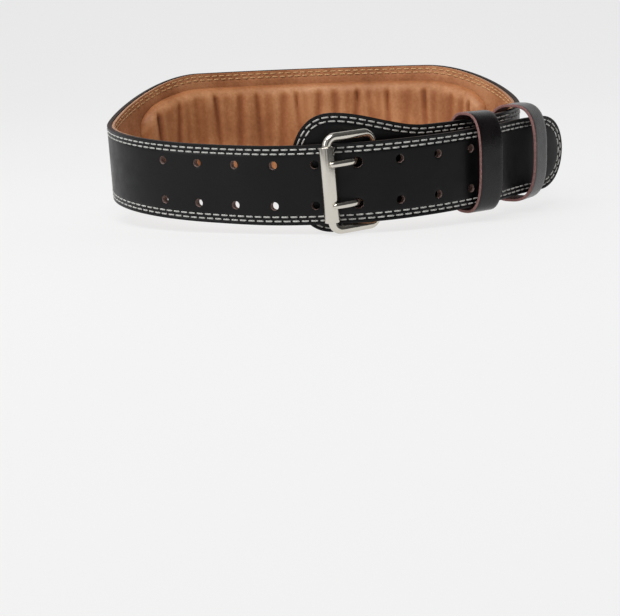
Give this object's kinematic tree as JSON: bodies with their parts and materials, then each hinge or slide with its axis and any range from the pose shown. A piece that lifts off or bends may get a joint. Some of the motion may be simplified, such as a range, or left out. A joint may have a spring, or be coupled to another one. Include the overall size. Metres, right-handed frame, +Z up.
{
  "type": "weightlifting belt",
  "caption": "Padded leather lifting belt, fastened into a loop, with a wide back, a roller buckle with two prongs and two leather keepers.",
  "frame": {"origin": "on the surface that the belt stands on, under the middle of its bounding box", "axes": "+X to the wearer's left, the side the tongue's tip points to; +Y to the wide back; +Z up, along the wearer's body"},
  "size_m": [0.3364, 0.2569, 0.102],
  "materials": {
    "black_leather": "smooth, semi-matt black leather",
    "tan_leather": "soft tan leather, matt",
    "nickel": "polished nickel plate"
  },
  "bodies": {
    "root": {"outer_leather": "black_leather", "lining": "tan_leather", "lumbar_pad": "tan_leather", "buckle_tab": "black_leather", "buckle_frame": "nickel", "buckle_roller": "nickel", "prong_lower": "nickel", "prong_upper": "nickel", "rivet_lower": "nickel", "rivet_upper": "nickel", "keeper_inner": "black_leather", "keeper_outer": "black_leather"}
  },
  "joints": []
}
